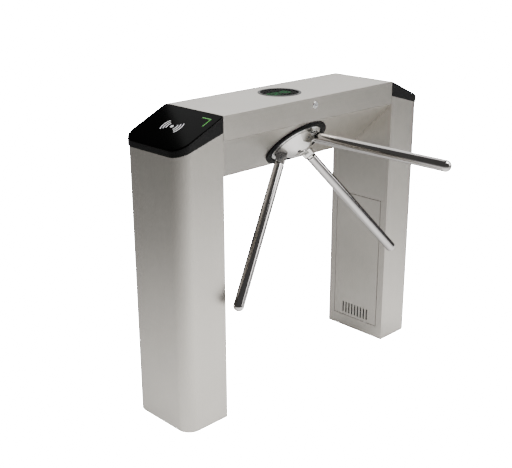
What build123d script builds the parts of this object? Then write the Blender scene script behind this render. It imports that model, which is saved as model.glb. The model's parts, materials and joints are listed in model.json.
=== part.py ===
"""Bridge-type tripod turnstile: two floor columns, a bridge between them and a three-arm hub.

Millimetres, +Z up. X runs along the bridge and -Y is the side that visitors walk past.
The origin is on the floor, under the middle of the housing.
"""

import os
from math import cos, pi, radians, sin, sqrt, tan

from build123d import *

# ---------------------------------------------------------------- driving dimensions
# housing
overall_length = 1125.0
overall_height = 980.0
body_width = 260.0
column_width = 165.0
column_corner_radius = 44.0
sheet = 1.5
base_thickness = 6.0

# sloped end caps
cap_proud = 1.5
cap_end_proud = 4.0
cap_drop = 75.0
cap_inner_height = 50.0
cap_outer_height = 23.0
cap_wall = 4.5
cap_lip = 14.0
panel_thickness = 4.0
panel_margin = 1.0
panel_bevel = 0.8

# direction pointer let into each panel
pointer_inset = 24.0
pointer_length = 38.0
pointer_width = 3.4
pointer_depth = 1.2

# card symbol printed on each panel over its reader
symbol_dot = 5.5
symbol_waves = (37.5, 28.0, 18.5)
symbol_line = 2.8
symbol_spread = 36.0
symbol_thickness = 0.12

# bridge and its hinged lid
lid_front = 76.0
slant_run = 170.0
seam_gap = 1.0
lip_height = 36.0
end_plate = 3.0
hinge_radius = 5.0
hinge_pin_radius = 2.5
knuckle_length = 56.0

# hub and arms, in the hub's own frame
hub_from_fold = 118.5
apex_depth = 45.2
arm_cone = 45.0
arm_diameter = 35.0
arm_wall = 1.5
arm_length = 628.0
pivot_distance = 105.0
tube_start = 24.0
knuckle_width = 16.0
fork_radius = 17.0
arm_pin_radius = 4.0
ring_radius = 112.0
ring_inner = 93.0
ring_height = 7.0
plate_radius = 91.0
plate_rim = 3.0
plate_height = 8.0
boss_radius = 32.0
boss_top = 42.0
dome_radius = 78.0
screw_drop = 12.0

# shaft line
shaft_radius = 12.5
bearing_radius = 26.0
bearing_width = 15.0
ball_radius = 4.0
ball_count = 9
housing_radius = 36.0
housing_length = 88.0
mech_plate = 6.0
bracket_plate = 6.0

# gears, locking wheel, pawls and solenoids
gear_module = 1.5
gear_teeth = 72
pinion_teeth = 18
gear_width = 8.0
gear_backlash = 1.3
wheel_radius = 48.0
wheel_width = 8.0
notch_count = 12
notch_depth = 7.0
notch_width = 9.5
tooth_width = 7.5
pawl_thickness = 6.0
pawl_swing = 10.0
pawl_reach = 44.0
tail_reach = 46.0
pawl_pin_radius = 4.0
coil_radius = 12.0
coil_length = 40.0
plunger_radius = 5.0
encoder_radius = 34.0

# access doors in the columns' inner faces
door_width = 206.0
door_bottom = 46.0
door_height = 498.0
door_gap = 2.0
door_return = 12.0
door_pin_radius = 2.5
vent_count = 9
vent_pitch = 14.4
vent_width = 6.0
vent_height = 45.0
vent_centre = 80.0

# floor fixing
anchor_radius = 6.5
anchor_spacing_x = 98.0
anchor_spacing_y = 160.0
cable_radius = 20.0
grommet_wall = 3.0

# display window and lid lock
display_radius = 71.0
bezel_height = 1.2
display_x = -22.0
display_y = 7.0
lock_drop = 24.4
lock_radius = 9.0
lock_bezel = 11.5
lock_length = 18.0

# clearances
running = 0.05
free_gap = 0.5

# ---------------------------------------------------------------- derived places
body_length = overall_length - 2 * cap_end_proud
outer_x = body_length / 2
inner_x = outer_x - column_width
column_x = (outer_x + inner_x) / 2
half_width = body_width / 2
fold_z = overall_height - lid_front
slant_end_y = slant_run - half_width
bridge_bottom = fold_z - slant_run
column_top_inner = overall_height - cap_inner_height
column_top_outer = overall_height - cap_drop - cap_outer_height
hinge_y = half_width - hinge_radius
hinge_z = overall_height - hinge_radius
lip_y = -half_width + sheet + 0.6

hub = Plane(
    origin=(0, -half_width + hub_from_fold / sqrt(2), fold_z - hub_from_fold / sqrt(2)),
    x_dir=(1, 0, 0),
    z_dir=(0, -1, -1),
)

hub_axis = Axis(hub.origin, hub.z_dir)

low_z = (Align.CENTER, Align.CENTER, Align.MIN)
high_z = (Align.CENTER, Align.CENTER, Align.MAX)

os.makedirs("parts", exist_ok=True)


def save(piece, name):
    """Label a finished piece and write it as its own STEP file."""
    piece.label = name
    export_step(piece, f"parts/{name}.step")


def mirrored(piece):
    """The same piece on the other side of the middle of the housing."""
    return mirror(piece, about=Plane.YZ)


def group(*pieces):
    """Several separate solids that share one node."""
    return Compound(children=[solid for piece in pieces for solid in piece.solids()])


def both_sides(piece):
    """A piece and its mirror image, as separate solids of one node."""
    return group(piece, mirrored(piece))


def hub_ring(outer, low, high, inner=0.0):
    """A turned disc or ring on the hub axis, from depth low to depth high."""
    with BuildPart(hub.offset(low)) as ring:
        Cylinder(outer, high - low, align=low_z)
        if inner > 0:
            Cylinder(inner, high - low, align=low_z, mode=Mode.SUBTRACT)
    return ring.part


# ---------------------------------------------------------------- columns
def column_outline(inset):
    """Plan of the left column, rounded on its outer side only."""
    with BuildSketch() as plan:
        with Locations((-column_x, 0)):
            Rectangle(column_width - 2 * inset, body_width - 2 * inset)
        fillet(plan.vertices().group_by(Axis.X)[0], column_corner_radius - inset)
    return plan.sketch


def above_slope(inner_z, outer_z):
    """Everything above the plane at these heights on the left column's inner and outer faces."""
    reach = 60.0
    fall = (inner_z - outer_z) / column_width * reach
    top = overall_height + 200
    with BuildPart() as region:
        with BuildSketch(Plane.XZ.offset(-body_width)):
            with BuildLine():
                Polyline(
                    (-inner_x + reach, inner_z + fall),
                    (-outer_x - reach, outer_z - fall),
                    (-outer_x - reach, top),
                    (-inner_x + reach, top),
                    close=True,
                )
            make_face()
        extrude(amount=2 * body_width)
    return region.part


bolt_radius = 4.0
bolt_places = [
    (-half_width + 70, fold_z - 20),
    (half_width - 40, fold_z - 4),
    (half_width - 40, bridge_bottom + 36),
    (slant_end_y - 20, bridge_bottom + 56),
]
wire_hole = (half_width - 45, fold_z - 68)
wire_hole_radius = 14.0
door_mid_z = door_bottom + door_height / 2

with BuildPart() as column_left:
    with BuildSketch():
        add(column_outline(0))
        add(column_outline(sheet), mode=Mode.SUBTRACT)
    extrude(amount=overall_height)
    add(above_slope(column_top_inner, column_top_outer), mode=Mode.SUBTRACT)
    with Locations((-inner_x, 0, door_mid_z)):
        Box(6 * sheet, door_width, door_height, mode=Mode.SUBTRACT)
    with BuildSketch(Plane.YZ.offset(-inner_x)):
        with Locations(*bolt_places):
            Circle(bolt_radius + free_gap)
        with Locations(wire_hole):
            Circle(wire_hole_radius)
    extrude(amount=2 * sheet, both=True, mode=Mode.SUBTRACT)
save(column_left.part, "column_left")
save(mirrored(column_left.part), "column_right")

with BuildPart() as base_plate:
    with BuildSketch():
        add(column_outline(sheet))
        with Locations((-column_x, 0)):
            with GridLocations(anchor_spacing_x, anchor_spacing_y, 2, 2):
                Circle(anchor_radius, mode=Mode.SUBTRACT)
            Circle(cable_radius + grommet_wall, mode=Mode.SUBTRACT)
    extrude(amount=base_thickness)
save(both_sides(base_plate.part), "base_plates")

with BuildPart(Plane.XY.move(Location((-column_x, 0, 0)))) as grommet:
    Cylinder(cable_radius + grommet_wall, base_thickness, align=low_z)
    with Locations((0, 0, base_thickness)):
        Cylinder(cable_radius + 2 * grommet_wall, grommet_wall, align=low_z)
    Cylinder(cable_radius, base_thickness + grommet_wall, align=low_z, mode=Mode.SUBTRACT)
save(both_sides(grommet.part), "cable_grommets")


# ---------------------------------------------------------------- caps, panels, readers
def cap_block(inset, top_drop, end_proud=cap_end_proud):
    """Solid with the left cap's outline, inset, below its sloped top lowered by top_drop."""
    outer = outer_x + end_proud
    with BuildPart() as block:
        with BuildSketch() as plan:
            with Locations((-(outer + inner_x) / 2, 0)):
                Rectangle(outer - inner_x - 2 * inset, 2 * (half_width + cap_proud - inset))
            fillet(plan.vertices().group_by(Axis.X)[0], column_corner_radius + cap_proud - inset)
        extrude(amount=overall_height + 100)
        top = overall_height - top_drop
        add(above_slope(top, top - cap_drop), mode=Mode.SUBTRACT)
    return block.part


with BuildPart() as cap_lip_ring:
    with BuildSketch():
        add(column_outline(sheet + 0.3))
        add(column_outline(sheet + 0.3 + cap_wall), mode=Mode.SUBTRACT)
    extrude(amount=overall_height)
    add(above_slope(column_top_inner - cap_lip, column_top_outer - cap_lip), mode=Mode.INTERSECT)
    add(above_slope(column_top_inner + cap_wall, column_top_outer + cap_wall), mode=Mode.SUBTRACT)

with BuildPart() as cap_left:
    add(cap_block(0, panel_thickness))
    add(cap_block(cap_wall, panel_thickness + cap_wall, cap_proud), mode=Mode.SUBTRACT)
    add(above_slope(column_top_inner, column_top_outer), mode=Mode.INTERSECT)
    add(cap_lip_ring.part)
save(cap_left.part, "cap_left")
save(mirrored(cap_left.part), "cap_right")

# frame lying on the left cap's sloped top: x inwards and up the slope, y to the back
slope_length = sqrt(column_width**2 + cap_drop**2)
slope = Plane(
    origin=(-column_x, 0, overall_height - cap_drop / 2),
    x_dir=(column_width, 0, cap_drop),
    z_dir=(-cap_drop, 0, column_width),
)


def pointer_block(low, high):
    """Right-angled arrow that points at the panel's inner front corner."""
    corner = (slope_length / 2 - pointer_inset, -half_width + pointer_inset)
    with BuildPart() as arrow:
        with BuildSketch(slope.offset(low)):
            with Locations(corner):
                Rectangle(pointer_length, pointer_width, align=(Align.MAX, Align.MIN))
                Rectangle(pointer_width, pointer_length, align=(Align.MAX, Align.MIN))
        extrude(amount=high - low)
    return arrow.part


with BuildPart() as panel_left:
    add(cap_block(panel_margin, 0))
    top = overall_height - panel_thickness
    add(above_slope(top, top - cap_drop), mode=Mode.INTERSECT)
    chamfer(panel_left.faces().filter_by(slope).sort_by(Axis.Z)[-1].edges(), panel_bevel)
    add(pointer_block(-pointer_depth, 1), mode=Mode.SUBTRACT)
save(panel_left.part, "panel_left")
save(mirrored(panel_left.part), "panel_right")
save(both_sides(pointer_block(-pointer_depth, 0.1)), "pointer_lights")

fan_reach = 2 * symbol_waves[0]
fan_half = fan_reach * tan(radians(symbol_spread))
with BuildSketch() as symbol_fan:
    with BuildLine():
        Polyline((0, 0), (fan_half, fan_reach), (-fan_half, fan_reach), close=True)
    make_face()
    mirror(about=Plane.XZ)

with BuildPart() as card_symbol:
    with BuildSketch(slope):
        for radius in symbol_waves:
            Circle(radius + symbol_line / 2)
            Circle(radius - symbol_line / 2, mode=Mode.SUBTRACT)
        add(symbol_fan.sketch, mode=Mode.INTERSECT)
        Circle(symbol_dot)
    extrude(amount=symbol_thickness)
save(both_sides(card_symbol.part), "card_symbols")

reader_depth = (panel_thickness + cap_wall) * column_width / slope_length + 0.3
reader_side = 84.0
reader_thickness = 9.0
with BuildPart(slope.offset(-reader_depth)) as reader:
    Box(reader_side, reader_side, reader_thickness, align=high_z)
    fillet(reader.edges().filter_by(Axis(slope.origin, slope.z_dir)), 8)
    with Locations((0, 0, -reader_thickness)):
        Box(0.7 * reader_side, 0.5 * reader_side, 6, align=high_z)
    with Locations((0, 0.6 * reader_side, 0)):
        Box(24, 0.2 * reader_side, 4, align=high_z)
save(both_sides(reader.part), "card_readers")


# ---------------------------------------------------------------- bridge body
def bridge_section(inset):
    """Filled cross-section of the bridge in Y and Z, open-topped far above, inset all round."""
    above = overall_height + 120
    lip = lip_y + inset
    back = half_width - inset
    bottom = bridge_bottom + inset
    slant = fold_z - half_width + inset * sqrt(2)
    shoulder = [(lip, slant - lip)]
    if inset == 0:
        shoulder = [(lip_y, fold_z), (-half_width, fold_z)]
    with BuildSketch() as section:
        with BuildLine():
            Polyline(
                (lip, above),
                *shoulder,
                (slant - bottom, bottom),
                (back, bottom),
                (back, above),
                close=True,
            )
        make_face()
    return section.sketch


back_top = hinge_z - hinge_radius - free_gap
hub_opening = ring_inner + 3
with BuildPart() as bridge_body:
    with BuildSketch(Plane.YZ.offset(-inner_x)):
        add(bridge_section(0))
        add(bridge_section(sheet), mode=Mode.SUBTRACT)
    extrude(amount=2 * inner_x)
    with Locations((0, 0, back_top)):
        Box(2 * overall_length, 2 * body_width, 400, align=low_z, mode=Mode.SUBTRACT)
    with Locations((0, -body_width / 2, fold_z + lip_height)):
        Box(2 * overall_length, body_width, 400, align=low_z, mode=Mode.SUBTRACT)
    add(hub_ring(hub_opening, -10, 10), mode=Mode.SUBTRACT)
save(bridge_body.part, "bridge_body")

end_top = fold_z + lip_height + 14
with BuildPart() as end_plate_left:
    with BuildSketch(Plane.YZ.offset(-inner_x)):
        add(bridge_section(sheet))
        with Locations(*bolt_places):
            Circle(bolt_radius + free_gap, mode=Mode.SUBTRACT)
        with Locations(wire_hole):
            Circle(wire_hole_radius, mode=Mode.SUBTRACT)
    extrude(amount=end_plate)
    with Locations((-inner_x, 0, end_top)):
        Box(40, 2 * body_width, 400, align=low_z, mode=Mode.SUBTRACT)
save(both_sides(end_plate_left.part), "bridge_end_plates")

bolt_head = 5.0
with BuildPart() as joining_bolt:
    for depth, size in ((end_plate, bolt_head), (-sheet - bolt_head, bolt_head)):
        with BuildSketch(Plane.YZ.offset(-inner_x + depth)):
            with Locations(*bolt_places):
                RegularPolygon(1.6 * bolt_radius, 6)
        extrude(amount=size)
    with BuildSketch(Plane.YZ.offset(-inner_x - sheet - 2 * bolt_head)):
        with Locations(*bolt_places):
            Circle(bolt_radius)
    extrude(amount=sheet + end_plate + 2 * bolt_head)

# ---------------------------------------------------------------- lid, hinge, display, lock
lid_gap = 1.0
lid_back_y = hinge_y - hinge_radius
lock_z = overall_height - lock_drop
with BuildPart() as lid:
    with BuildSketch(Plane.YZ.offset(-inner_x + lid_gap)):
        with BuildLine():
            Polyline(
                (-half_width, fold_z + seam_gap),
                (-half_width, overall_height),
                (lid_back_y, overall_height),
                (lid_back_y, overall_height - sheet),
                (-half_width + sheet, overall_height - sheet),
                (-half_width + sheet, fold_z + seam_gap),
                close=True,
            )
        make_face()
    extrude(amount=2 * (inner_x - lid_gap))
    with Locations((display_x, display_y, overall_height - sheet)):
        Cylinder(display_radius - 4, 4 * sheet, mode=Mode.SUBTRACT)
    with Locations(Plane.XZ.offset(half_width) * Location((0, lock_z, 0))):
        Cylinder(lock_radius, 4 * sheet, mode=Mode.SUBTRACT)
    front_edge = lid.edges().filter_by(Axis.X).sort_by(lambda e: e.center().Z - e.center().Y)[-1]
    fillet(front_edge, 0.9)
save(lid.part, "lid")


def knuckles(first, bore):
    """Every second knuckle of the lid's hinge, starting at this one, bored for the pin."""
    count = int(2 * (inner_x - lid_gap) // knuckle_length)
    pitch = 2 * (inner_x - lid_gap) / count
    starts = [-inner_x + lid_gap + pitch * i for i in range(first, count, 2)]
    with BuildPart() as row:
        with BuildSketch(Plane.YZ):
            with Locations((hinge_y, hinge_z)):
                Circle(hinge_radius)
                Circle(bore, mode=Mode.SUBTRACT)
        extrude(amount=pitch - free_gap)
    return [row.part.moved(Location((start, 0, 0))) for start in starts], starts, pitch


leaf_width = 24.0
leaf = hinge_radius - sheet - hinge_pin_radius - 2 * running
with BuildPart() as hinge_leaf:
    rings, starts, pitch = knuckles(0, hinge_pin_radius)
    add(rings)
    with Locations((0, half_width - sheet, back_top - 0.2)):
        Box(2 * (inner_x - end_plate), leaf, leaf_width, align=(Align.CENTER, Align.MAX, Align.MAX))
    for start in starts:
        with Locations((start, half_width - sheet, back_top - 0.2)):
            Box(pitch - free_gap, leaf, hinge_radius, align=(Align.MIN, Align.MAX, Align.MIN))
save(hinge_leaf.part, "hinge_leaf")

with BuildPart() as hinge_flap:
    rings, starts, pitch = knuckles(1, hinge_pin_radius + running)
    add(rings)
    with Locations((0, lid_back_y, overall_height - sheet)):
        Box(2 * (inner_x - end_plate), leaf_width, leaf, align=(Align.CENTER, Align.MAX, Align.MAX))
    for start in starts:
        with Locations((start, lid_back_y, overall_height - sheet)):
            Box(pitch - free_gap, hinge_radius, leaf, align=(Align.MIN, Align.MIN, Align.MAX))
save(hinge_flap.part, "hinge_flap")

with BuildPart(Plane.YZ.offset(-inner_x + lid_gap)) as hinge_pin:
    with Locations((hinge_y, hinge_z)):
        Cylinder(hinge_pin_radius, 2 * (inner_x - lid_gap), align=low_z)
save(hinge_pin.part, "hinge_pin")

display_top = overall_height
with BuildPart(Plane.XY.move(Location((display_x, display_y, display_top)))) as display_bezel:
    Cylinder(display_radius, bezel_height, align=low_z)
    with Locations((0, 0, -sheet - 3)):
        Cylinder(display_radius - 4.2, sheet + 3, align=low_z)
    chamfer(display_bezel.faces().sort_by(Axis.Z)[-1].edges(), bezel_height / 2)
    with Locations((0, 0, -sheet - 3)):
        Cylinder(display_radius - 8, sheet + 8, align=low_z, mode=Mode.SUBTRACT)
save(display_bezel.part, "display_bezel")

with BuildPart(Plane.XY.move(Location((display_x, display_y, display_top)))) as display_window:
    with Locations((0, 0, -1.8)):
        Cylinder(display_radius - 8, bezel_height + 1.6, align=low_z)
save(display_window.part, "display_window")

board_depth = sheet + 9.8
digit_height = 32.0
digit_pitch = 22.0
digit_count = 4
digit_shift = 3.5
segment = 3.2


def digit_segments(figure):
    """Centres and sizes of the lit bars of one seven-bar figure, about its own middle."""
    w, h = digit_height * 0.5, digit_height
    bars = {
        "top": (0, h / 2, w - segment, segment),
        "middle": (0, 0, w - segment, segment),
        "bottom": (0, -h / 2, w - segment, segment),
        "upper left": (-w / 2, h / 4, segment, h / 2 - segment),
        "lower left": (-w / 2, -h / 4, segment, h / 2 - segment),
        "upper right": (w / 2, h / 4, segment, h / 2 - segment),
        "lower right": (w / 2, -h / 4, segment, h / 2 - segment),
    }
    unlit = {0: ["middle"], 2: ["upper left", "lower right"], 4: ["top", "bottom", "lower left"], 8: []}
    return [size for name, size in bars.items() if name not in unlit[figure]]


with BuildPart(Plane.XY.move(Location((display_x, display_y, display_top - board_depth)))) as board:
    Box(2 * (display_radius - 22), digit_height + 24, 1.6, align=high_z)
    Box(digit_count * digit_pitch + 6, digit_height + 10, 8.0, align=low_z)
    for side in (-1, 1):
        with Locations((side * (display_radius - 26), 0, 0)):
            Cylinder(3.0, board_depth - sheet - 3.2, align=low_z)
save(board.part, "display_board")

shown = (0, 2, 4, 8)
with BuildPart() as digits:
    with BuildSketch(Plane.XY.offset(display_top - board_depth + 8.0)):
        for place, figure in enumerate(shown):
            middle = display_x + (place - (digit_count - 1) / 2) * digit_pitch
            for x, y, w, h in digit_segments(figure):
                with Locations((middle + x, display_y + digit_shift + y)):
                    Rectangle(w, h)
    extrude(amount=0.8)
save(digits.part, "display_digits")

# frame of the lid lock: z out of the lid's front, x to the left column, y down
lock_front = Plane(origin=(0, -half_width, lock_z), x_dir=(1, 0, 0), z_dir=(0, -1, 0))
plug_radius = 6.0
cam_length = 30.0
cam_width = 15.0
cam_thickness = 2.5
with BuildPart(lock_front) as lock_barrel:
    Cylinder(lock_bezel, 2.0, align=low_z)
    chamfer(lock_barrel.faces().sort_by(Axis.Y)[0].edges(), 1.0)
    Cylinder(lock_radius - 0.2, lock_length, align=high_z)
    with Locations((0, 0, -sheet)):
        Cylinder(lock_radius + 3, 4.0, align=high_z)
    with Locations((0, 0, 2.0)):
        Cylinder(plug_radius + running, lock_length + 2.0, align=high_z, mode=Mode.SUBTRACT)
save(lock_barrel.part, "lock_barrel")

with BuildPart(lock_front.offset(1.5)) as lock_plug:
    Cylinder(plug_radius, lock_length + 1.5, align=high_z)
    with Locations((0, 0, -lock_length - 1.5)):
        Cylinder(3.0, cam_thickness + 5.0, align=high_z)
    Box(1.6, 7.0, 6.0, align=(Align.CENTER, Align.CENTER, Align.CENTER), mode=Mode.SUBTRACT)
save(lock_plug.part, "lock_plug")

with BuildPart() as lock_cam:
    with BuildSketch(lock_front.offset(-lock_length - free_gap)):
        Circle(cam_width / 2)
        Rectangle(cam_length, cam_width, align=(Align.MIN, Align.CENTER))
        Circle(3.0, mode=Mode.SUBTRACT)
    extrude(amount=-cam_thickness)
save(lock_cam.part, "lock_cam")

# ---------------------------------------------------------------- mechanism plate and bearings
plate_front = -sheet
plate_back = plate_front - mech_plate
housing_back = plate_back - housing_length
flange_radius = housing_radius + 22
flange_back = plate_back - 7
front_race = plate_back - bearing_width
rear_race = housing_back + 3.5
bracket_front = housing_back - 1.5
bracket_back = bracket_front - bracket_plate
stud_places = [(side * 118, row * 92) for side in (-1, 1) for row in (-1, 0, 1)]
stud_radius = 4.0
flange_screw_radius = 3.0
hub_flange = boss_radius
hub_flange_gap = 4.5

with BuildPart(hub.offset(plate_back)) as mechanism_plate:
    Box(260, 210, mech_plate, align=low_z)
    Cylinder(hub_flange + hub_flange_gap, mech_plate, align=low_z, mode=Mode.SUBTRACT)
    with Locations(*stud_places):
        Cylinder(stud_radius + free_gap, mech_plate, align=low_z, mode=Mode.SUBTRACT)
    with PolarLocations((housing_radius + flange_radius) / 2, 6):
        Cylinder(flange_screw_radius, mech_plate, align=low_z, mode=Mode.SUBTRACT)
save(mechanism_plate.part, "mechanism_plate")

with BuildPart(hub.offset(plate_back)) as stud_nuts:
    with Locations(*stud_places):
        with Locations((0, 0, mech_plate)):
            Cylinder(stud_radius, mech_plate + 9, align=high_z)
        Cylinder(1.7 * stud_radius, 6, align=high_z)
with BuildPart(hub.offset(flange_back)) as flange_screws:
    with PolarLocations((housing_radius + flange_radius) / 2, 6):
        Cylinder(flange_screw_radius, plate_front - flange_back, align=low_z)
        Cylinder(1.7 * flange_screw_radius, 5, align=high_z)
save(group(both_sides(joining_bolt.part), stud_nuts.part, flange_screws.part), "housing_fasteners")

with BuildPart(hub.offset(housing_back)) as bearing_housing:
    Cylinder(housing_radius, housing_length, align=low_z)
    with Locations((0, 0, flange_back - housing_back)):
        Cylinder(flange_radius, plate_back - flange_back, align=low_z)
        with PolarLocations((housing_radius + flange_radius) / 2, 6):
            Cylinder(flange_screw_radius, plate_back - flange_back, align=low_z, mode=Mode.SUBTRACT)
    Cylinder(bearing_radius - 4, housing_length, align=low_z, mode=Mode.SUBTRACT)
    Cylinder(bearing_radius, bearing_width + 3.5, align=low_z, mode=Mode.SUBTRACT)
    with Locations((0, 0, housing_length)):
        Cylinder(bearing_radius, bearing_width, align=high_z, mode=Mode.SUBTRACT)
save(bearing_housing.part, "bearing_housing")

ball_circle = (shaft_radius + bearing_radius) / 2


def bearing_race(low, inner, outer, groove):
    """One ring of a ball bearing, with the groove that its balls run in."""
    middle = hub.origin + hub.z_dir * (low + bearing_width / 2)
    with BuildPart() as race:
        with BuildSketch(Plane(origin=middle, x_dir=hub.x_dir, z_dir=-hub.y_dir)):
            with Locations(((inner + outer) / 2, 0)):
                Rectangle(outer - inner, bearing_width)
            with Locations((ball_circle, 0)):
                Circle(groove, mode=Mode.SUBTRACT)
        revolve(axis=hub_axis)
    return race.part


with BuildPart() as balls:
    for low in (front_race, rear_race):
        with Locations(hub.offset(low + bearing_width / 2)):
            with PolarLocations(ball_circle, ball_count):
                Sphere(ball_radius)
outer_races = [
    bearing_race(low, bearing_radius - 4, bearing_radius, ball_radius + running)
    for low in (front_race, rear_race)
]
save(group(*outer_races, balls.part), "bearing_outer_races")
inner_races = [
    bearing_race(low, shaft_radius, shaft_radius + 4, ball_radius + 0.35)
    for low in (front_race, rear_race)
]
save(group(*inner_races), "bearing_inner_races")

trim = hub_ring(ring_radius, 0, ring_height, ring_inner)
with BuildPart() as trim_ring:
    add(trim)
    chamfer(trim_ring.faces().sort_by(hub_axis)[-1].edges(), 1.5)
save(trim_ring.part, "trim_ring")

# ---------------------------------------------------------------- rotor
with BuildPart(hub) as main_shaft:
    with Locations((0, 0, bracket_back - 31)):
        Cylinder(shaft_radius, 30 - bracket_back + 31, align=low_z)
    with Locations((0, 0, 1)):
        Cylinder(hub_flange, 7, align=high_z)
        with PolarLocations(0.75 * boss_radius, 3, start_angle=30):
            Cylinder(4, 20, mode=Mode.SUBTRACT)
save(main_shaft.part, "main_shaft")

with BuildPart(hub.offset(1)) as hub_plate:
    Cylinder(plate_radius, plate_rim, align=low_z)
    with Locations((0, 0, plate_rim)):
        Cone(plate_radius, plate_radius - 11, plate_height - 1 - plate_rim, align=low_z)
    Cylinder(shaft_radius, plate_height, align=low_z, mode=Mode.SUBTRACT)
    with PolarLocations(0.75 * boss_radius, 3, start_angle=30):
        Cylinder(4, 20, mode=Mode.SUBTRACT)
save(hub_plate.part, "hub_plate")

arm_angles = {"front": 90, "left": 210, "right": 330}


def arm_frame(angle):
    """Frame at the arms' common point: z along the arm, x along its hinge pin."""
    radial = hub.x_dir * cos(radians(angle)) + hub.y_dir * sin(radians(angle))
    tangent = hub.y_dir * cos(radians(angle)) - hub.x_dir * sin(radians(angle))
    along = hub.z_dir * cos(radians(arm_cone)) + radial * sin(radians(arm_cone))
    return Plane(origin=hub.origin - hub.z_dir * apex_depth, x_dir=tangent, z_dir=along)


def pivot_frame(angle):
    """Frame on the arm's hinge pin: x along the arm, z along the pin."""
    frame = arm_frame(angle)
    return Plane(frame.origin + frame.z_dir * pivot_distance, x_dir=frame.z_dir, z_dir=frame.x_dir)


screw_seat = boss_top - screw_drop
hub_cap_radius = 0.47 * boss_radius
hub_section = Plane(origin=hub.origin, x_dir=hub.x_dir, z_dir=-hub.y_dir)
with BuildPart() as arm_carrier:
    with BuildSketch(hub_section):
        with BuildLine():
            dome = Spline(
                (dome_radius, plate_height),
                (0.8 * dome_radius, plate_height + 0.26 * (boss_top - plate_height)),
                (0.6 * dome_radius, plate_height + 0.57 * (boss_top - plate_height)),
                (0.4 * dome_radius, plate_height + 0.86 * (boss_top - plate_height)),
                (0.16 * dome_radius, boss_top),
            )
            Polyline(dome @ 1, (0, boss_top), (0, plate_height), dome @ 0)
        make_face()
    revolve(axis=hub_axis)
    for angle in arm_angles.values():
        with BuildSketch(pivot_frame(angle)):
            Circle(fork_radius)
            Rectangle(pivot_distance, 2 * fork_radius, align=(Align.MAX, Align.CENTER))
        extrude(amount=arm_diameter / 2, both=True)
    for angle in arm_angles.values():
        with BuildSketch(pivot_frame(angle)):
            with Locations((-fork_radius - 1.5, 0)):
                Rectangle(80, 80, align=(Align.MIN, Align.CENTER))
        extrude(amount=knuckle_width / 2 + 0.35, both=True, mode=Mode.SUBTRACT)
        with BuildSketch(pivot_frame(angle)):
            Circle(arm_pin_radius)
        extrude(amount=arm_diameter, both=True, mode=Mode.SUBTRACT)
    with Locations(hub.offset(plate_height)):
        Box(400, 400, 200, align=high_z, mode=Mode.SUBTRACT)
        Cylinder(shaft_radius, 30 - plate_height, align=low_z, mode=Mode.SUBTRACT)
        with PolarLocations(0.75 * boss_radius, 3, start_angle=30):
            Cylinder(4, 60, align=low_z, mode=Mode.SUBTRACT)
            with Locations((0, 0, screw_seat - plate_height)):
                Cylinder(6.5, 40, align=low_z, mode=Mode.SUBTRACT)
        with Locations((0, 0, boss_top - 2 - plate_height)):
            Cylinder(hub_cap_radius, 20, align=low_z, mode=Mode.SUBTRACT)
save(arm_carrier.part, "arm_carrier")

with BuildPart(hub.offset(screw_seat)) as hub_screws:
    with PolarLocations(0.75 * boss_radius, 3, start_angle=30):
        Cylinder(4, screw_seat + 6, align=high_z)
        Cylinder(6.5, 7, align=low_z)
        with Locations((0, 0, 7)):
            Cylinder(3, 4, align=high_z, mode=Mode.SUBTRACT)
save(hub_screws.part, "hub_screws")

with BuildPart(hub.offset(boss_top - 2)) as hub_cap:
    Cylinder(hub_cap_radius, 7, align=low_z)
    fillet(hub_cap.faces().sort_by(hub_axis)[-1].edges(), 4)
save(hub_cap.part, "hub_cap")


def arm_tube(angle):
    """One arm: a closed tube with a domed tip."""
    length = arm_length - pivot_distance - tube_start
    with BuildPart(arm_frame(angle).offset(pivot_distance + tube_start)) as tube:
        Cylinder(arm_diameter / 2, length, align=low_z)
        fillet(tube.faces().sort_by(Axis(hub.origin, arm_frame(angle).z_dir))[-1].edges(), 0.94 * arm_diameter / 2)
        Cylinder(arm_diameter / 2 - arm_wall, length - 20, align=low_z, mode=Mode.SUBTRACT)
    return tube.part


def arm_knuckle(angle):
    """The eye that joins an arm's tube to its hinge pin."""
    bore = arm_pin_radius + running if angle == arm_angles["front"] else arm_pin_radius
    with BuildPart() as knuckle:
        with BuildSketch(pivot_frame(angle)):
            Circle(fork_radius)
            Rectangle(tube_start, 1.5 * fork_radius, align=(Align.MIN, Align.CENTER))
        extrude(amount=knuckle_width / 2, both=True)
        with Locations(arm_frame(angle).offset(pivot_distance + tube_start)):
            Cylinder(arm_diameter / 2, 4, align=high_z)
            Cylinder(arm_diameter / 2 - arm_wall, 30, align=low_z)
        with BuildSketch(pivot_frame(angle)):
            Circle(bore)
        extrude(amount=arm_diameter, both=True, mode=Mode.SUBTRACT)
    return knuckle.part


def arm_pin(angle):
    """Hinge pin of one arm, with its head let in flush."""
    with BuildPart() as pin:
        with BuildSketch(pivot_frame(angle)):
            Circle(arm_pin_radius)
        extrude(amount=arm_diameter / 2 + 1, both=True)
    return pin.part


for name, angle in arm_angles.items():
    save(arm_tube(angle), f"arm_{name}")
save(arm_knuckle(arm_angles["front"]), "front_knuckle")
side_knuckles = [arm_knuckle(arm_angles[name]) for name in ("left", "right")]
save(group(*side_knuckles), "side_knuckles")
save(group(*[arm_pin(angle) for angle in arm_angles.values()]), "arm_pins")


# ---------------------------------------------------------------- gears, locking wheel, encoder
def gear_outline(teeth, bore):
    """Plan of a straight-sided gear with one tooth on its x axis."""
    pitch = gear_module * teeth / 2
    root = pitch - 1.25 * gear_module
    tip = pitch + 0.87 * gear_module
    half = (pi * gear_module / 2 - gear_backlash / 2) / 2
    lean = tan(radians(20))
    foot = half + (pitch - root + 1) * lean
    crest = half - (tip - pitch) * lean
    with BuildSketch() as plan:
        Circle(root)
        with PolarLocations(0, teeth):
            Polygon((root - 1, -foot), (tip, -crest), (tip, crest), (root - 1, foot), align=None)
        if bore > 0:
            Circle(bore, mode=Mode.SUBTRACT)
    return plan.sketch


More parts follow.
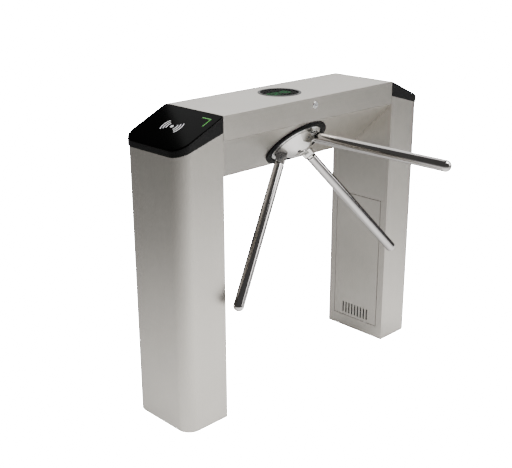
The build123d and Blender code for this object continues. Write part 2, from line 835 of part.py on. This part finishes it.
gear_front = bracket_back - 2
gear_back = gear_front - gear_width
wheel_front = gear_back - 4
wheel_back = wheel_front - wheel_width
disc_front = wheel_back - 4
pinion_distance = gear_module * (gear_teeth + pinion_teeth) / 2
gear_radius = gear_module * gear_teeth / 2

with BuildPart(hub.offset(gear_back)) as damper_gear:
    with BuildSketch(hub.offset(gear_back)):
        add(gear_outline(gear_teeth, shaft_radius))
        with PolarLocations(0.62 * gear_radius, 6):
            Circle(0.16 * gear_radius, mode=Mode.SUBTRACT)
    extrude(amount=gear_width)
save(damper_gear.part, "damper_gear")

with BuildPart() as locking_wheel:
    with BuildSketch(hub.offset(wheel_back)):
        Circle(wheel_radius)
        Circle(shaft_radius, mode=Mode.SUBTRACT)
        with PolarLocations(wheel_radius, notch_count):
            Rectangle(2 * notch_depth, notch_width, mode=Mode.SUBTRACT)
    extrude(amount=wheel_width)
save(locking_wheel.part, "locking_wheel")

with BuildPart() as encoder_disc:
    with BuildSketch(hub.offset(disc_front - 1)):
        Circle(encoder_radius)
        Circle(shaft_radius, mode=Mode.SUBTRACT)
        with PolarLocations(0.85 * encoder_radius, 24):
            Rectangle(6, 3.5, mode=Mode.SUBTRACT)
    extrude(amount=1)
    with Locations(hub.offset(disc_front)):
        Cylinder(shaft_radius + 4, 3, align=low_z)
        Cylinder(shaft_radius, 3, align=low_z, mode=Mode.SUBTRACT)
save(encoder_disc.part, "encoder_disc")

damper_shaft = 4.0
damper_front = bracket_front + 37
damper_at = (0, -pinion_distance)
with BuildPart() as damper_pinion:
    with BuildSketch(hub.offset(gear_back)):
        with Locations(damper_at):
            add(gear_outline(pinion_teeth, 0))
    extrude(amount=gear_width)
    with BuildSketch(hub.offset(gear_back)):
        with Locations(damper_at):
            Circle(damper_shaft)
    extrude(amount=damper_front - 4 - gear_back)
save(damper_pinion.part, "damper_pinion")

with BuildPart(hub.offset(bracket_front)) as damper_body:
    with Locations(damper_at):
        Cylinder(20, damper_front - bracket_front, align=low_z)
        Cylinder(damper_shaft + running, damper_front - bracket_front - 3, align=low_z, mode=Mode.SUBTRACT)
save(damper_body.part, "damper_body")

# ---------------------------------------------------------------- rear bracket and what it carries
bracket_side = 112.0
post_places = [(side * 100, v) for side in (-1, 1) for v in (-74, 54)]
post_radius = 6.0
pawl_at = (-46.0, -pawl_reach)
pawl_front = wheel_front - 1
pawl_back = pawl_front - pawl_thickness

with BuildPart(hub.offset(bracket_back)) as rear_bracket:
    with Locations((0, -10)):
        Box(2 * bracket_side, 156, bracket_plate, align=low_z)
    Cylinder(shaft_radius + 7.5, bracket_plate, align=low_z, mode=Mode.SUBTRACT)
    with Locations(damper_at):
        Cylinder(damper_shaft + free_gap, bracket_plate, align=low_z, mode=Mode.SUBTRACT)
    with Locations(*post_places):
        Cylinder(3, bracket_plate, align=low_z, mode=Mode.SUBTRACT)
save(rear_bracket.part, "rear_bracket")

with BuildPart(hub.offset(bracket_front)) as bracket_posts:
    with Locations(*post_places):
        Cylinder(post_radius, plate_back - bracket_front, align=low_z)
        Cylinder(3, bracket_plate, align=high_z)
        with Locations((0, 0, -bracket_plate)):
            Cylinder(5, 4, align=high_z)
    with Locations((pawl_at[0], pawl_at[1], -bracket_plate), (-pawl_at[0], pawl_at[1], -bracket_plate)):
        Cylinder(pawl_pin_radius + 2.5, bracket_back - pawl_front - free_gap, align=high_z)
        Cylinder(pawl_pin_radius, bracket_back - pawl_back + 3, align=high_z)
save(bracket_posts.part, "bracket_posts")

nose_reach = wheel_radius - notch_depth + 1
tail_slot = 5.0
rest_turn = Location(hub) * Location((*pawl_at, 0), (0, 0, pawl_swing))
with BuildPart() as pawl_left:
    with BuildSketch(Plane(rest_turn).offset(pawl_back)):
        with BuildLine():
            nose = -pawl_at[0] - nose_reach
            Polyline(
                (-7, 0),
                (7, 0),
                (-3, pawl_reach / 2),
                (nose - 13, pawl_reach - tooth_width / 2),
                (nose, pawl_reach - tooth_width / 2),
                (nose, pawl_reach + tooth_width / 2),
                (nose - 24, pawl_reach + tooth_width / 2),
                (nose - 24, 18),
                close=True,
            )
        make_face()
        Circle(2 * pawl_pin_radius)
        with Locations((-tail_reach / 2, 0)):
            SlotOverall(tail_reach + 22, tail_slot + 4)
        with Locations((-tail_reach, 0)):
            SlotOverall(9, tail_slot, mode=Mode.SUBTRACT)
        Circle(pawl_pin_radius + running, mode=Mode.SUBTRACT)
    extrude(amount=pawl_thickness)
save(pawl_left.part, "pawl_left")
save(mirrored(pawl_left.part), "pawl_right")

swing = radians(pawl_swing)
plunger_u = pawl_at[0] - tail_reach * (1 + cos(swing)) / 2
link_v = pawl_at[1] - tail_reach * sin(swing)
plunger_w = (pawl_front + pawl_back) / 2
coil_bottom = link_v + 24
solenoid_wall = 3.0

# frame of the left solenoid: z along the plunger towards the coil, y away from the bracket
stroke = Plane(
    origin=hub.origin + hub.x_dir * plunger_u + hub.y_dir * link_v + hub.z_dir * plunger_w,
    x_dir=hub.x_dir,
    z_dir=hub.y_dir,
)
coil_side = coil_radius + 1.0
coil_gap = 0.4
frame_drop = bracket_back - plunger_w
frame_start = coil_bottom - link_v
with BuildPart(stroke.offset(frame_start)) as solenoid:
    with Locations((0, 0, solenoid_wall)):
        Cylinder(coil_radius, coil_length, align=low_z)
    for end in (0, coil_length + solenoid_wall):
        with Locations((0, -frame_drop, end)):
            Box(2 * coil_side, frame_drop + coil_side, solenoid_wall, align=(Align.CENTER, Align.MIN, Align.MIN))
    with Locations((0, -frame_drop, 0)):
        Box(
            2 * coil_side,
            solenoid_wall,
            coil_length + 2 * solenoid_wall,
            align=(Align.CENTER, Align.MIN, Align.MIN),
        )
    Cylinder(plunger_radius + coil_gap, coil_length + solenoid_wall, align=low_z, mode=Mode.SUBTRACT)
save(both_sides(solenoid.part), "solenoids")

clevis_half = pawl_thickness / 2 + free_gap
with BuildPart(stroke) as plunger_left:
    with Locations((0, 0, -6)):
        Box(12, 2 * clevis_half + 7, 18, align=low_z)
        Box(20, 2 * clevis_half, 14, align=low_z, mode=Mode.SUBTRACT)
    with Locations((0, 0, 12)):
        Cylinder(plunger_radius, coil_length - 2, align=low_z)
    with Locations((0, 0, 0)):
        Cylinder(2, 2 * clevis_half + 7, rotation=(90, 0, 0))
save(plunger_left.part, "plunger_left")
save(mirrored(plunger_left.part), "plunger_right")

sensor_turn = Plane(Location(hub) * Location((0, 0, 0), (0, 0, 135)))
stem_low = gear_radius + 4
with BuildPart() as encoder_sensor:
    with Locations(sensor_turn.offset(disc_front - 5)):
        with Locations((stem_low, 0, 0)):
            Box(9, 16, bracket_back - disc_front + 5, align=(Align.MIN, Align.CENTER, Align.MIN))
        with Locations((encoder_radius - 7, 0, 0), (encoder_radius - 7, 0, 5.6)):
            Box(stem_low - encoder_radius + 8, 12, 2.8, align=(Align.MIN, Align.CENTER, Align.MIN))
save(encoder_sensor.part, "encoder_sensor")

# ---------------------------------------------------------------- electronics
board_x = -250.0
board_z = (bridge_bottom + fold_z) / 2 + 20
back_inside = Plane(origin=(board_x, half_width - sheet, board_z), x_dir=(-1, 0, 0), z_dir=(0, -1, 0))
with BuildPart(back_inside) as control_board:
    with Locations((0, 0, 10)):
        Box(180, 120, 1.6, align=low_z)
        with GridLocations(164, 104, 2, 2):
            Cylinder(3, 10, align=high_z)
    with Locations((0, 0, 11.6)):
        with Locations((-30, 12)):
            Box(34, 34, 3, align=low_z)
        with Locations((40, 30), (40, 8), (40, -14)):
            Box(28, 16, 14, align=low_z)
        with Locations((0, -48)):
            Box(140, 12, 11, align=low_z)
        with Locations((-66, 32), (-66, 4)):
            Cylinder(9, 18, align=low_z)
save(control_board.part, "control_board")

with BuildPart(Plane.XY.move(Location((outer_x - sheet, 0, 200)))) as power_supply:
    Box(52, 110, 160, align=(Align.MAX, Align.CENTER, Align.MIN))
    with Locations((-52, 0, 0)):
        with GridLocations(0, 9, 1, 9):
            with Locations((0, 0, 80)):
                Box(3, 4, 90, mode=Mode.SUBTRACT)
save(power_supply.part, "power_supply")

# ---------------------------------------------------------------- access doors
door_pivot_y = door_width / 2 - door_gap - 7
door_pivot_in = 5.0
door_edge = door_width / 2 - door_gap
door_low = door_bottom + door_gap
door_tall = door_height - 2 * door_gap
pivot_x = -inner_x - door_pivot_in
tongue = 3.0

with BuildPart() as access_door:
    with Locations((-inner_x, 0, door_mid_z)):
        Box(door_return, 2 * door_edge, door_tall, align=(Align.MAX, Align.CENTER, Align.CENTER))
    with Locations((-inner_x - sheet, 0, door_mid_z)):
        Box(
            door_return,
            2 * (door_edge - sheet),
            door_tall - 2 * sheet,
            align=(Align.MAX, Align.CENTER, Align.CENTER),
            mode=Mode.SUBTRACT,
        )
    with Locations((pivot_x, door_pivot_y, 0)):
        Cylinder(door_pin_radius + running, 2 * overall_height, mode=Mode.SUBTRACT)
    with BuildSketch(Plane.YZ.offset(-inner_x)):
        with GridLocations(vent_pitch, 0, vent_count, 1):
            with Locations((0, vent_centre)):
                SlotOverall(vent_height, vent_width, rotation=90)
    extrude(amount=2 * sheet, both=True, mode=Mode.SUBTRACT)
save(access_door.part, "access_door_left")
save(mirrored(access_door.part), "access_door_right")

with BuildPart() as door_fitting:
    for z, way in ((door_bottom + door_height, 1), (door_bottom, -1)):
        lower = z + (free_gap if way > 0 else -free_gap - tongue)
        with Locations((-inner_x - sheet, door_pivot_y, lower)):
            Box(14, 16, tongue, align=(Align.MAX, Align.CENTER, Align.MIN))
        with Locations((pivot_x, door_pivot_y, lower + tongue / 2)):
            Cylinder(door_pin_radius, tongue)
        with Locations((pivot_x, door_pivot_y, lower if way > 0 else lower + tongue)):
            Cylinder(door_pin_radius, 10, align=high_z if way > 0 else low_z)
    for z in (door_mid_z - 150, door_mid_z + 150):
        with Locations((-inner_x - sheet, -door_width / 2 - 1, z)):
            Box(14, 12, 40, align=(Align.MAX, Align.MAX, Align.CENTER))
save(both_sides(door_fitting.part), "door_fittings")
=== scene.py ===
"""Looks of a bridge-type tripod turnstile: materials, softened edges and the studio."""

import json
from math import radians

import bpy
from mathutils import Matrix, Vector


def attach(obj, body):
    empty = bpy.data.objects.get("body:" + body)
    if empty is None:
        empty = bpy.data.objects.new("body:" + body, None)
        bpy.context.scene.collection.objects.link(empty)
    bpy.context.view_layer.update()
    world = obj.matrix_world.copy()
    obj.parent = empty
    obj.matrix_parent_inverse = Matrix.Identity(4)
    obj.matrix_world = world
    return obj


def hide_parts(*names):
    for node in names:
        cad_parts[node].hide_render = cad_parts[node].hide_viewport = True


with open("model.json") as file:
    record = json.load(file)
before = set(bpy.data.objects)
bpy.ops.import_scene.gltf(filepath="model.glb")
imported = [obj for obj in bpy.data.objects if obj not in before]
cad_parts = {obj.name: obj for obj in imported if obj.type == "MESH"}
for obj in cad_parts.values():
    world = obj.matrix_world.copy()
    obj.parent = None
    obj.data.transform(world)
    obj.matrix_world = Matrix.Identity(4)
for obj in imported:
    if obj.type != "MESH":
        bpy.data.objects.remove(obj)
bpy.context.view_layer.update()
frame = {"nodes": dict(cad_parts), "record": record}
nodes = frame["nodes"]
bpy.ops.object.select_all(action="DESELECT")

MM = 0.001
WHITE_OUT = 40.0  # how strongly the studio glows where the camera looks straight at it
BRUSH_MARK = 140  # how many times longer than wide a mark of the brush is

# how far the edges of each kind of part are broken, in millimetres
FOLDED_EDGE = 0.6
CAST_EDGE = 1.3
FINE_EDGE = 0.5
LOCK_EDGE = 0.9

# a flat face arrives as triangles: corners this close are one, and faces this nearly level are one
WELD = 0.004 * MM
LEVEL = radians(0.4)


def linear(code, alpha=1.0):
    """sRGB hex colour as linear RGBA."""
    channels = [int(code[i : i + 2], 16) / 255 for i in (0, 2, 4)]
    return (*[c / 12.92 if c <= 0.04045 else ((c + 0.055) / 1.055) ** 2.4 for c in channels], alpha)


def new_material(name):
    """An empty material with only its output and a Principled shader."""
    material = bpy.data.materials.new(name)
    material.use_nodes = True
    return material, material.node_tree.nodes["Principled BSDF"]


def put(material, kind, values=None, links=None, **options):
    """Adds a node with its options, socket values and incoming links."""
    node = material.node_tree.nodes.new("ShaderNode" + kind)
    for option, value in options.items():
        setattr(node, option, value)
    for socket, value in (values or {}).items():
        node.inputs[socket].default_value = value
    for socket, source in (links or {}).items():
        material.node_tree.links.new(source, node.inputs[socket])
    return node


def join(material, source, shader, socket):
    """Links a node's output to the shader."""
    material.node_tree.links.new(source, shader.inputs[socket])


def dulled(material, index):
    """Lowers a plastic's usual index of 1.5 until it mirrors the studio as weakly as the real part."""
    material.node_tree.nodes["Principled BSDF"].inputs["IOR"].default_value = index


def per_mm(size):
    """Noise scale, in cycles per metre, whose grain is about this many millimetres."""
    return 1 / (size * MM)


# ---------------------------------------------------------------- materials
def brushed_sheet(name, tone, grain, long_axis, rough):
    """Stainless sheet brushed along one axis: fine straight hairlines that spread the highlight."""
    material, shader = new_material(name)
    place = put(material, "TexCoord").outputs["Object"]
    stretch = [per_mm(grain)] * 3
    stretch[long_axis] = per_mm(grain * BRUSH_MARK)
    lines = put(material, "Mapping", {"Scale": stretch}, {"Vector": place})
    fine = {"Scale": 1.0, "Detail": 4.0, "Roughness": 0.6}
    hair = put(material, "TexNoise", fine, {"Vector": lines.outputs[0]})
    cloud = put(material, "TexNoise", {"Scale": per_mm(190), "Detail": 2.0}, {"Vector": place})
    streaks = put(material, "Math", {1: 0.55}, {0: hair.outputs[0]}, operation="MULTIPLY")
    streaks_and_cloud = {0: cloud.outputs[0], 2: streaks.outputs[0]}
    blend = put(material, "Math", {1: 0.45}, streaks_and_cloud, operation="MULTIPLY_ADD")
    tones = {6: linear(tone[0]), 7: linear(tone[1])}
    shade = put(material, "Mix", tones, {0: blend.outputs[0]}, data_type="RGBA")
    join(material, shade.outputs[2], shader, "Base Color")
    sheen = {"To Min": rough - 0.06, "To Max": rough + 0.08}
    spread = put(material, "MapRange", sheen, {"Value": hair.outputs[0]})
    join(material, spread.outputs[0], shader, "Roughness")
    relief = put(material, "Bump", {"Strength": 0.18, "Distance": 0.02 * MM}, {"Height": hair.outputs[0]})
    join(material, relief.outputs[0], shader, "Normal")
    shader.inputs["Metallic"].default_value = 1.0
    return material


def machined_metal(name, tone, rough, grain=0.8):
    """Turned or milled metal: even colour with a fine tool pattern in the sheen."""
    material, shader = new_material(name)
    place = put(material, "TexCoord").outputs["Object"]
    grit = put(material, "TexNoise", {"Scale": per_mm(grain), "Detail": 3.0}, {"Vector": place})
    patch = put(material, "TexNoise", {"Scale": per_mm(40), "Detail": 2.0}, {"Vector": place})
    tones = {6: linear(tone[0]), 7: linear(tone[1])}
    shade = put(material, "Mix", tones, {0: patch.outputs[0]}, data_type="RGBA")
    join(material, shade.outputs[2], shader, "Base Color")
    sheen = {"To Min": rough - 0.05, "To Max": rough + 0.07}
    spread = put(material, "MapRange", sheen, {"Value": grit.outputs[0]})
    join(material, spread.outputs[0], shader, "Roughness")
    relief = put(material, "Bump", {"Strength": 0.12, "Distance": 0.03 * MM}, {"Height": grit.outputs[0]})
    join(material, relief.outputs[0], shader, "Normal")
    shader.inputs["Metallic"].default_value = 1.0
    return material


def moulded_plastic(name, tone, rough, coat=0.0, grain=0.7, relief_depth=0.03):
    """Moulded plastic: a fine eroded texture on satin parts, none to speak of on gloss ones."""
    material, shader = new_material(name)
    place = put(material, "TexCoord").outputs["Object"]
    grit = put(material, "TexNoise", {"Scale": per_mm(grain), "Detail": 3.0}, {"Vector": place})
    handled = {"Scale": per_mm(60), "Detail": 4.0, "Roughness": 0.65}
    wipe = put(material, "TexNoise", handled, {"Vector": place})
    tones = {6: linear(tone[0]), 7: linear(tone[1])}
    shade = put(material, "Mix", tones, {0: wipe.outputs[0]}, data_type="RGBA")
    join(material, shade.outputs[2], shader, "Base Color")
    sheen = {"To Min": rough * 0.8, "To Max": rough * 1.25}
    spread = put(material, "MapRange", sheen, {"Value": wipe.outputs[0]})
    join(material, spread.outputs[0], shader, "Roughness")
    pitting = {"Strength": 0.2, "Distance": relief_depth * MM}
    relief = put(material, "Bump", pitting, {"Height": grit.outputs[0]})
    join(material, relief.outputs[0], shader, "Normal")
    shader.inputs["IOR"].default_value = 1.5
    shader.inputs["Coat Weight"].default_value = coat
    return material


def lit_marking(name, tone, strength):
    """Light guide or LED bar: an even glow, mottled a little between two tones."""
    material, shader = new_material(name)
    place = put(material, "TexCoord").outputs["Object"]
    mottle = put(material, "TexNoise", {"Scale": per_mm(3), "Detail": 1.0}, {"Vector": place})
    tones = {6: linear(tone[0]), 7: linear(tone[1])}
    shade = put(material, "Mix", tones, {0: mottle.outputs[0]}, data_type="RGBA")
    join(material, shade.outputs[2], shader, "Base Color")
    join(material, shade.outputs[2], shader, "Emission Color")
    shader.inputs["Emission Strength"].default_value = strength
    shader.inputs["Roughness"].default_value = 0.35
    return material


# brushed stainless sheet, grain upright: soft vertical streaks that blur what it mirrors
column_steel = brushed_sheet("brushed_stainless_upright", ("aaa69f", "c2beb6"), 0.9, 2, 0.34)
# the same sheet with its grain along the bridge: long level streaks
bridge_steel = brushed_sheet("brushed_stainless_lengthwise", ("aaa69f", "c2beb6"), 0.9, 0, 0.34)
# zinc-plated plate: cool grey with a faint dull mottle
zinc_plate = machined_metal("zinc_plated_steel", ("9fa2a3", "b9bbba"), 0.42, 1.2)
# bright bolts and nuts: small hard glints
bolt_steel = machined_metal("bright_bolt_steel", ("8f8f8f", "a8a7a5"), 0.33)
# stainless hinge: satin, a little warmer than the plate behind it
hinge_steel = machined_metal("stainless_hinge", ("a39f99", "bab6af"), 0.33)
# ground and turned steel: darker, with a tight sheen
ground_steel = machined_metal("ground_steel", ("8c8d8f", "a7a8a9"), 0.25)
# polished bearing steel: nearly a mirror
bearing_steel = machined_metal("bearing_steel", ("b4b6b8", "c6c8ca"), 0.12)
# polished stainless tube: crisp dark and bright bands along the arms
polished_tube = machined_metal("polished_stainless_tube", ("aeaba9", "bcb9b7"), 0.09, 0.5)
# chrome on a zinc lock: one small white glint
lock_chrome = machined_metal("chrome_plated_zinc", ("dadada", "e6e6e6"), 0.08, 0.5)
# spun aluminium disc: pale and smooth
spun_disc = machined_metal("spun_aluminium_disc", ("c4c3c0", "d8d7d4"), 0.24)
# satin zinc casting: pale, with blurred reflections
cast_satin = machined_metal("satin_zinc_casting", ("c2c0bc", "d6d4d0"), 0.22, 1.0)
# sand-cast aluminium: dull and grainy
cast_rough = machined_metal("sand_cast_aluminium", ("8d8f90", "a5a7a7"), 0.52, 1.8)
# cut brass: warm yellow against the steel
gear_brass = machined_metal("cut_brass", ("b0883c", "c9a256"), 0.28)
# satin black ABS: a soft grey edge light on the caps
satin_abs = moulded_plastic("satin_black_abs", ("060606", "0c0c0d"), 0.36)
dulled(satin_abs, 1.27)
# dull black ABS trim: a flat black outline round the hub
dull_abs = moulded_plastic("dull_black_abs", ("030303", "060606"), 0.6)
dulled(dull_abs, 1.2)
# gloss black acrylic: deep black with a faint sheen towards the light
gloss_acrylic = moulded_plastic("gloss_black_acrylic", ("010101", "030303"), 0.12, 0.0, 2.5, 0.01)
dulled(gloss_acrylic, 1.08)
# dark grey ABS reader case: plain and matt
reader_abs = moulded_plastic("dark_grey_abs", ("1b1b1d", "262628"), 0.5)
# solder-masked board: dark green, slightly shiny
circuit = moulded_plastic("solder_masked_board", ("0d3a20", "17512f"), 0.32)
# coil wrap and painted frame: charcoal, half matt
coil_paint = moulded_plastic("coil_and_frame", ("2c2c30", "3a3a3e"), 0.45)
# pressed aluminium case: light grey, fine grain
pressed_case = machined_metal("pressed_aluminium_case", ("9b9d9e", "b1b3b4"), 0.38, 1.5)
# moulded rubber: black and fully matt
grommet_rubber = moulded_plastic("moulded_rubber", ("101010", "1a1a1a"), 0.7)
# light guide of the pointer: a clear green line
green_led = lit_marking("green_led", ("2f8f24", "4db034"), 0.55)
# seven-bar figures: a dim green behind the smoked window
digit_led = lit_marking("green_digit_led", ("1f6a3a", "2f8a4d"), 2.6)
# screen print lit from behind: the brightest mark on the black panel
white_print = moulded_plastic("white_screen_print", ("f4f4f4", "fcfcfc"), 0.45)
print_shader = white_print.node_tree.nodes["Principled BSDF"]
print_shader.inputs["Emission Color"].default_value = linear("ffffff")
print_shader.inputs["Emission Strength"].default_value = 0.6

# smoked clear acrylic: darkens the display and lets the green figures through
smoked_window, window_shader = new_material("smoked_clear_acrylic")
place = put(smoked_window, "TexCoord").outputs["Object"]
smear = put(smoked_window, "TexNoise", {"Scale": per_mm(25), "Detail": 4.0}, {"Vector": place})
smear_range = put(smoked_window, "MapRange", {"To Min": 0.05, "To Max": 0.11}, {"Value": smear.outputs[0]})
join(smoked_window, smear_range.outputs[0], window_shader, "Roughness")
window_shader.inputs["Base Color"].default_value = linear("060707")
window_shader.inputs["Alpha"].default_value = 0.55
window_shader.inputs["Specular IOR Level"].default_value = 0.08
window_shader.inputs["IOR"].default_value = 1.04

slot_material = {
    "brushed_stainless": column_steel,
    "zinc_steel": zinc_plate,
    "fastener_steel": bolt_steel,
    "hinge_steel": hinge_steel,
    "shaft_steel": ground_steel,
    "bearing_steel": bearing_steel,
    "polished_tube": polished_tube,
    "lock_chrome": lock_chrome,
    "hub_metal": spun_disc,
    "carrier_metal": cast_satin,
    "cast_aluminium": cast_rough,
    "gear_brass": gear_brass,
    "black_satin": satin_abs,
    "black_gloss": gloss_acrylic,
    "smoked_window": smoked_window,
    "green_light": green_led,
    "reader_plastic": reader_abs,
    "circuit_board": circuit,
    "solenoid_steel": coil_paint,
    "power_case": pressed_case,
    "black_rubber": grommet_rubber,
    "white_print": white_print,
}
node_slot = {part["node"]: part["material_slot"] for part in frame["record"]["subparts"]}
bodies = frame["record"]["behaviour"]["bodies"]
node_body = {part: body for body, parts in bodies.items() for part in parts}
finish_of = {name: slot_material[slot] for name, slot in node_slot.items()}
finish_of["lid"] = finish_of["bridge_body"] = bridge_steel
finish_of["display_digits"] = digit_led
finish_of["trim_ring"] = dull_abs
for name, node in nodes.items():
    node.data.materials.clear()
    node.data.materials.append(finish_of[name])

# ---------------------------------------------------------------- modelling helpers
def finish_piece(piece, name, material, slot, body, *stands_for):
    """Names a finished piece, gives it its finish and hangs it on its body."""
    bpy.ops.object.select_all(action="DESELECT")
    piece.select_set(True)
    bpy.context.view_layer.objects.active = piece
    bpy.ops.object.transform_apply(location=True, rotation=True, scale=True)
    piece.name = name
    piece.data.name = name
    piece.data.materials.clear()
    piece.data.materials.append(material)
    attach(piece, body)
    if stands_for:
        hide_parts(*stands_for)
    piece.select_set(False)
    return piece


def softened(name, width, segments=2, angle=35):
    """A part with its sharp edges broken, as deburring, folding or moulding leaves them."""
    node = nodes[name]
    bpy.ops.object.select_all(action="DESELECT")
    node.select_set(True)
    bpy.context.view_layer.objects.active = node
    bpy.ops.object.duplicate()
    piece = bpy.context.active_object
    piece.parent = None
    for key in list(piece.keys()):
        del piece[key]
    bpy.ops.object.mode_set(mode="EDIT")
    bpy.ops.mesh.select_all(action="SELECT")
    bpy.ops.mesh.remove_doubles(threshold=WELD)
    bpy.ops.mesh.dissolve_limited(angle_limit=LEVEL, use_dissolve_boundaries=False)
    bpy.ops.object.mode_set(mode="OBJECT")
    edge = piece.modifiers.new("edge", "BEVEL")
    edge.width = width * MM
    edge.segments = segments
    edge.limit_method = "ANGLE"
    edge.angle_limit = radians(angle)
    edge.use_clamp_overlap = True
    bpy.ops.object.modifier_apply(modifier=edge.name)
    bpy.ops.object.shade_smooth_by_angle(angle=radians(32))
    flats = piece.modifiers.new("flats", "WEIGHTED_NORMAL")
    flats.mode = "FACE_AREA"
    flats.weight = 100
    flats.keep_sharp = True
    bpy.ops.object.modifier_apply(modifier=flats.name)
    finished = name + "_finished"
    return finish_piece(piece, finished, finish_of[name], node_slot[name], node_body[name], name)


for name in ("lid", "bridge_body", "column_left", "column_right", "access_door_left", "access_door_right"):
    softened(name, FOLDED_EDGE)
for name in ("arm_carrier", "front_knuckle", "side_knuckles"):
    softened(name, CAST_EDGE, 3)
for name in ("hub_plate", "cap_left", "cap_right", "lock_plug"):
    softened(name, FINE_EDGE)
softened("lock_barrel", LOCK_EDGE, 3)

# ---------------------------------------------------------------- studio
FLOOR_SIZE = 80  # metres, so that its far edge lies out of sight
bpy.ops.mesh.primitive_plane_add(size=FLOOR_SIZE, location=(0, 0, 0))
floor = bpy.context.active_object
floor.name = "studio_floor"

# matt white floor: plain white where the camera sees it, and a pool of light from below in front
floor_paint, floor_shader = new_material("white_studio_floor")
floor_shader.inputs["Base Color"].default_value = linear("f2f2f2")
floor_shader.inputs["Roughness"].default_value = 0.9
floor_shader.inputs["Emission Color"].default_value = (1, 1, 1, 1)
seen = put(floor_paint, "LightPath")
spot = put(floor_paint, "TexCoord").outputs["Object"]

# light from the floor fades with distance from here, and is held back between the columns
POOL_CENTRE = (-0.4, -0.7, 0)
SHADED_CENTRE = (0.15, 0.45, 0)
distance = put(floor_paint, "VectorMath", {1: POOL_CENTRE}, {0: spot}, operation="DISTANCE")
fade = {"From Min": 0.3, "From Max": 2.3, "To Min": 1.6, "To Max": 0.14}
pool = put(floor_paint, "MapRange", fade, {"Value": distance.outputs["Value"]})
between = put(floor_paint, "VectorMath", {1: SHADED_CENTRE}, {0: spot}, operation="DISTANCE")
hold_back = {"From Min": 0.5, "From Max": 0.85, "To Min": 0.22, "To Max": 1.0}
shaded = put(floor_paint, "MapRange", hold_back, {"Value": between.outputs["Value"]})
both = {0: pool.outputs[0], 1: shaded.outputs[0]}
bounce = put(floor_paint, "Math", None, both, operation="MULTIPLY")

# no white-out under the columns, where the floor shows through the anchor and cable holes
FOOT_MIDDLE, FOOT_REACH, FOOT_DEPTH = 0.465, 0.068, 0.095
across = put(floor_paint, "SeparateXYZ", None, {0: spot})
along = put(floor_paint, "Math", None, {0: across.outputs[0]}, operation="ABSOLUTE")
deep = put(floor_paint, "Math", None, {0: across.outputs[1]}, operation="ABSOLUTE")
foot = {1: FOOT_MIDDLE, 2: FOOT_REACH}
under_length = put(floor_paint, "Math", foot, {0: along.outputs[0]}, operation="COMPARE")
under_depth = put(floor_paint, "Math", {1: FOOT_DEPTH}, {0: deep.outputs[0]}, operation="LESS_THAN")
both = {0: under_length.outputs[0], 1: under_depth.outputs[0]}
covered = put(floor_paint, "Math", None, both, operation="MULTIPLY")
hidden = put(floor_paint, "Math", {0: WHITE_OUT}, {1: covered.outputs[0]}, operation="MULTIPLY")
open_floor = put(floor_paint, "Math", {0: WHITE_OUT}, {1: hidden.outputs[0]}, operation="SUBTRACT")
parts = {0: seen.outputs["Is Camera Ray"], 1: open_floor.outputs[0], 2: bounce.outputs[0]}
glow = put(floor_paint, "Math", None, parts, operation="MULTIPLY_ADD")
join(floor_paint, glow.outputs[0], floor_shader, "Emission Strength")
floor.data.materials.append(floor_paint)

# even white air: a dim fill for the object, plain white to the camera
world = bpy.data.worlds.new("studio_air")
world.use_nodes = True
air = world.node_tree.nodes["Background"]
air.inputs["Color"].default_value = (1, 1, 1, 1)
looked_at = put(world, "LightPath")
fill = {1: WHITE_OUT, 2: 0.10}
brightness = put(world, "Math", fill, {0: looked_at.outputs["Is Camera Ray"]}, operation="MULTIPLY_ADD")
world.node_tree.links.new(brightness.outputs[0], air.inputs["Strength"])
bpy.context.scene.world = world


def softbox(name, place, target, size, watts):
    """A square studio light aimed at a point."""
    data = bpy.data.lights.new(name, "AREA")
    data.shape = "SQUARE"
    data.size = size
    data.energy = watts
    lamp = bpy.data.objects.new(name, data)
    bpy.context.scene.collection.objects.link(lamp)
    lamp.location = place
    lamp.rotation_euler = (Vector(target) - Vector(place)).to_track_quat("-Z", "Y").to_euler()
    return lamp


softbox("front_softbox", (2.6, -3.4, 2.4), (0.2, -0.5, 0.3), 2.6, 88)
softbox("near_softbox", (0.5, -1.3, 2.5), (0.3, -0.6, 0), 1.2, 52)
softbox("rear_softbox", (1.1, 1.0, 1.9), (0.3, 0.3, 0), 2.2, 26)
softbox("back_wall_light", (4.6, 4.6, 2.4), (0, 0, 1.0), 6.0, 26)

# the camera stands off the near column's front corner, at about eye height, and looks down a little
CAMERA_PLACE = (-2.0947, -2.0059, 1.5226)
CAMERA_TURN, CAMERA_DIP, CAMERA_ROLL = -44.31, 19.58, -0.19
camera_data = bpy.data.cameras.new("camera")
camera_data.sensor_width = 36.0
camera_data.lens = 63.3
camera = bpy.data.objects.new("camera", camera_data)
bpy.context.scene.collection.objects.link(camera)
camera.matrix_world = (
    Matrix.Translation(CAMERA_PLACE)
    @ Matrix.Rotation(radians(CAMERA_TURN), 4, "Z")
    @ Matrix.Rotation(radians(90 - CAMERA_DIP), 4, "X")
    @ Matrix.Rotation(radians(CAMERA_ROLL), 4, "Z")
)
bpy.context.scene.camera = camera
